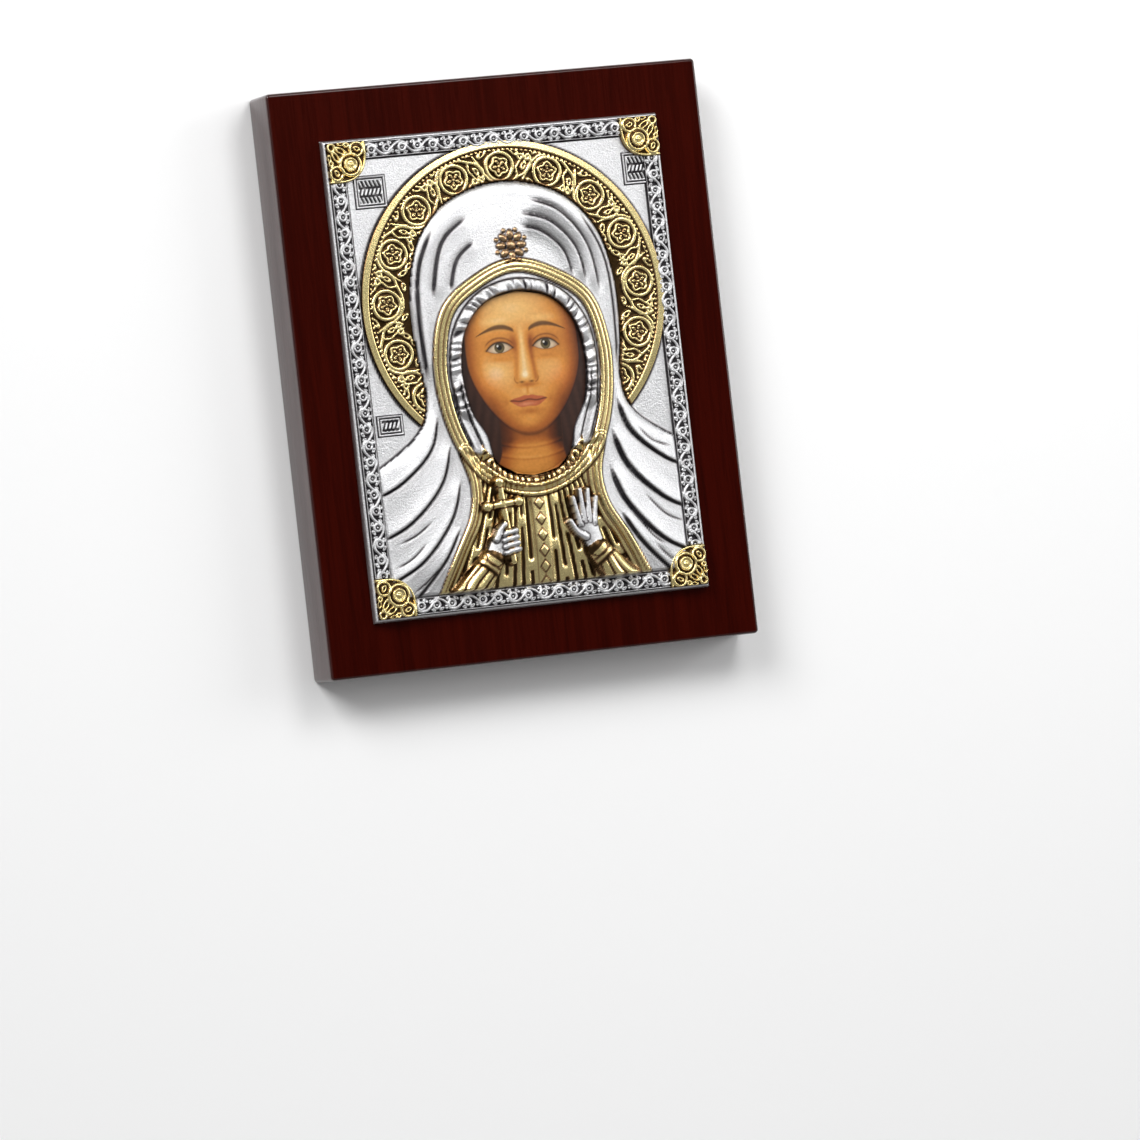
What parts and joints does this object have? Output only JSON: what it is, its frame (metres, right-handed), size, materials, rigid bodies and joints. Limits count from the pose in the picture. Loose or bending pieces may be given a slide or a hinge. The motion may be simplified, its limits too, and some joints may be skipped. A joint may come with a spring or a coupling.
{
  "type": "icon panel",
  "caption": "Small lacquered wood panel with a pressed, partly gilt silver cover of a haloed saint whose face shows as a printed picture.",
  "frame": {"origin": "middle of the wood's back face, which the panel lies on", "axes": "+X to the icon's right, +Y to its top, +Z out of its face"},
  "size_m": [0.055, 0.07, 0.0097],
  "materials": {
    "wood_panel": "satin mahogany lacquer",
    "silver_cover": "satin silver plate, gilt in part",
    "face_picture": "glossy colour print"
  },
  "bodies": {
    "root": {"wood_panel": "wood_panel", "silver_cover": "silver_cover", "face_picture": "face_picture"}
  },
  "joints": []
}
